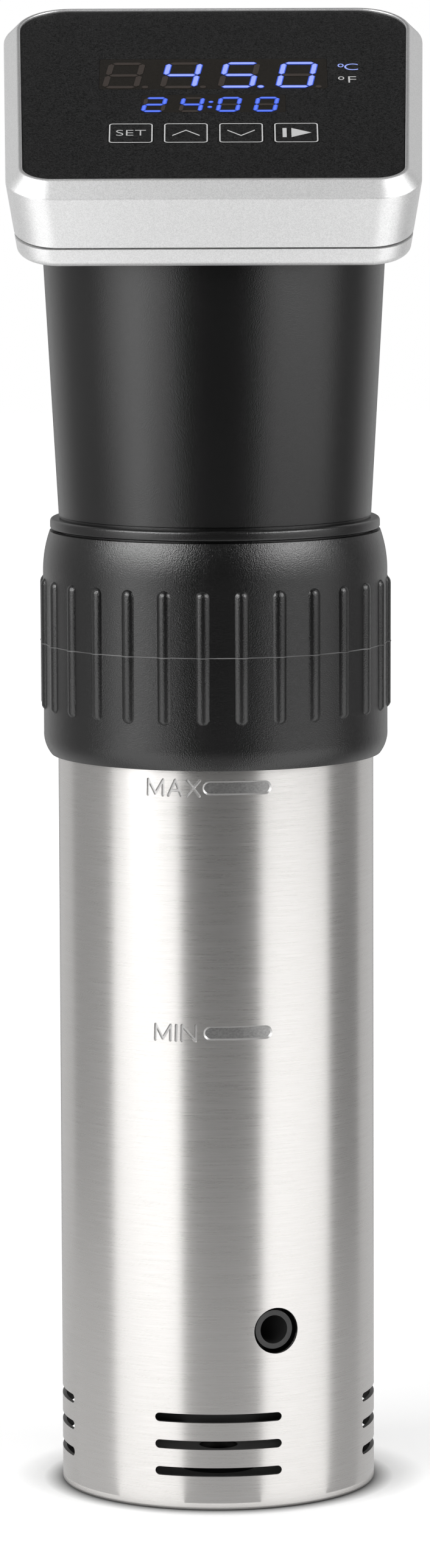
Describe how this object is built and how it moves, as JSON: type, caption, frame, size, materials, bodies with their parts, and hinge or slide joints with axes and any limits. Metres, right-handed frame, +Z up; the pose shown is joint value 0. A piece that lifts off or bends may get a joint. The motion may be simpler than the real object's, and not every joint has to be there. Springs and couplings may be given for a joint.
{
  "type": "sous vide circulator",
  "caption": "Upright immersion circulator: slotted steel sleeve, ribbed lock ring, tapered neck and a tilted control head with displays and keys; the drive unit lifts out.",
  "frame": {"origin": "centre of the sleeve's foot, on the surface that it stands on", "axes": "+Z up along the sleeve's axis, the control panel faces -Y, +X to the viewer's right"},
  "size_m": [0.0856, 0.0877, 0.3003],
  "materials": {
    "steel": "brushed round the tube",
    "ring_black": "fine moulded texture, low sheen",
    "seal_rubber": "plain",
    "neck_black": "fine spark texture",
    "inlet_rubber": "plain",
    "silver_paint": "satin silver paint with fine flake",
    "screw_steel": "zinc plated",
    "panel_black": "black film with fine grain",
    "lens_smoke": "smoked window",
    "led_white": "dark display block",
    "board_green": "circuit board",
    "part_black": "moulded",
    "part_yellow": "wound block",
    "part_green": "moulded",
    "wet_plastic": "moulded",
    "dry_plastic": "moulded",
    "motor_metal": "zinc plated sheet",
    "core_metal": "stacked sheets",
    "bright_steel": "polished",
    "bronze": "turned",
    "sink_aluminium": "extruded"
  },
  "bodies": {
    "sleeve": {"steel_sleeve": "steel", "base_plate": "steel"},
    "drive_unit": {"bulkhead_seal": "seal_rubber", "shaft_seal": "seal_rubber", "neck_front_shell": "neck_black", "neck_rear_shell": "neck_black", "cord_inlet": "inlet_rubber", "bezel_frame": "silver_paint", "head_base": "silver_paint", "neck_screws": "screw_steel", "head_screws": "screw_steel", "cap_screws": "screw_steel", "bulkhead_screws": "screw_steel", "motor_screws": "screw_steel", "pump_screws": "screw_steel", "panel_overlay": "panel_black", "temperature_lens": "lens_smoke", "timer_lens": "lens_smoke", "led_temperature": "led_white", "led_timer": "led_white", "display_board": "board_green", "power_board": "board_green", "tact_switches": "part_black", "buzzer": "part_black", "relay": "part_black", "capacitor": "part_black", "transformer": "part_yellow", "terminal_block": "part_green", "bulkhead": "wet_plastic", "pump_housing": "wet_plastic", "pump_cover": "wet_plastic", "outlet_nozzle": "wet_plastic", "board_deck": "dry_plastic", "motor_can": "motor_metal", "motor_end_bell": "motor_metal", "motor_mount": "motor_metal", "stator": "core_metal", "upper_bearing": "bright_steel", "lower_bearing": "bright_steel", "heater_element": "bright_steel", "temperature_probe": "bright_steel", "level_rods": "bright_steel", "standoff_rods": "bright_steel", "shaft_guide": "bronze", "heater_terminals": "bronze", "heat_sink": "sink_aluminium"},
    "lock_ring": {"grip_ring": "ring_black", "ring_gasket": "seal_rubber"},
    "rotor": {"motor_shaft": "bright_steel", "drive_shaft": "bright_steel", "shaft_coupling": "wet_plastic", "rotor_core": "core_metal", "cooling_fan": "dry_plastic", "impeller": "wet_plastic"},
    "key_set": {"key_set": "panel_black"},
    "key_up": {"key_up": "panel_black"},
    "key_down": {"key_down": "panel_black"},
    "key_start": {"key_start": "panel_black"}
  },
  "joints": [
    {"name": "unit_lift", "type": "slide", "parent": "sleeve", "child": "drive_unit", "axis": [0, 0, 1], "range_m": [0, 0.17]},
    {"name": "ring_twist", "type": "hinge", "parent": "drive_unit", "child": "lock_ring", "pos_m": [0, 0, 0.17], "axis": [0, 0, 1], "range_deg": [0, 60]},
    {"name": "pump_spin", "type": "hinge", "parent": "drive_unit", "child": "rotor", "pos_m": [0, 0, 0.1], "axis": [0, 0, 1], "continuous": true},
    {"name": "key_set_press", "type": "slide", "parent": "drive_unit", "child": "key_set", "axis": [0, 0.3746, -0.9272], "range_m": [0, 0.0003], "stiffness_N_per_m": 900},
    {"name": "key_up_press", "type": "slide", "parent": "drive_unit", "child": "key_up", "axis": [0, 0.3746, -0.9272], "range_m": [0, 0.0003], "stiffness_N_per_m": 900},
    {"name": "key_down_press", "type": "slide", "parent": "drive_unit", "child": "key_down", "axis": [0, 0.3746, -0.9272], "range_m": [0, 0.0003], "stiffness_N_per_m": 900},
    {"name": "key_start_press", "type": "slide", "parent": "drive_unit", "child": "key_start", "axis": [0, 0.3746, -0.9272], "range_m": [0, 0.0003], "stiffness_N_per_m": 900}
  ]
}
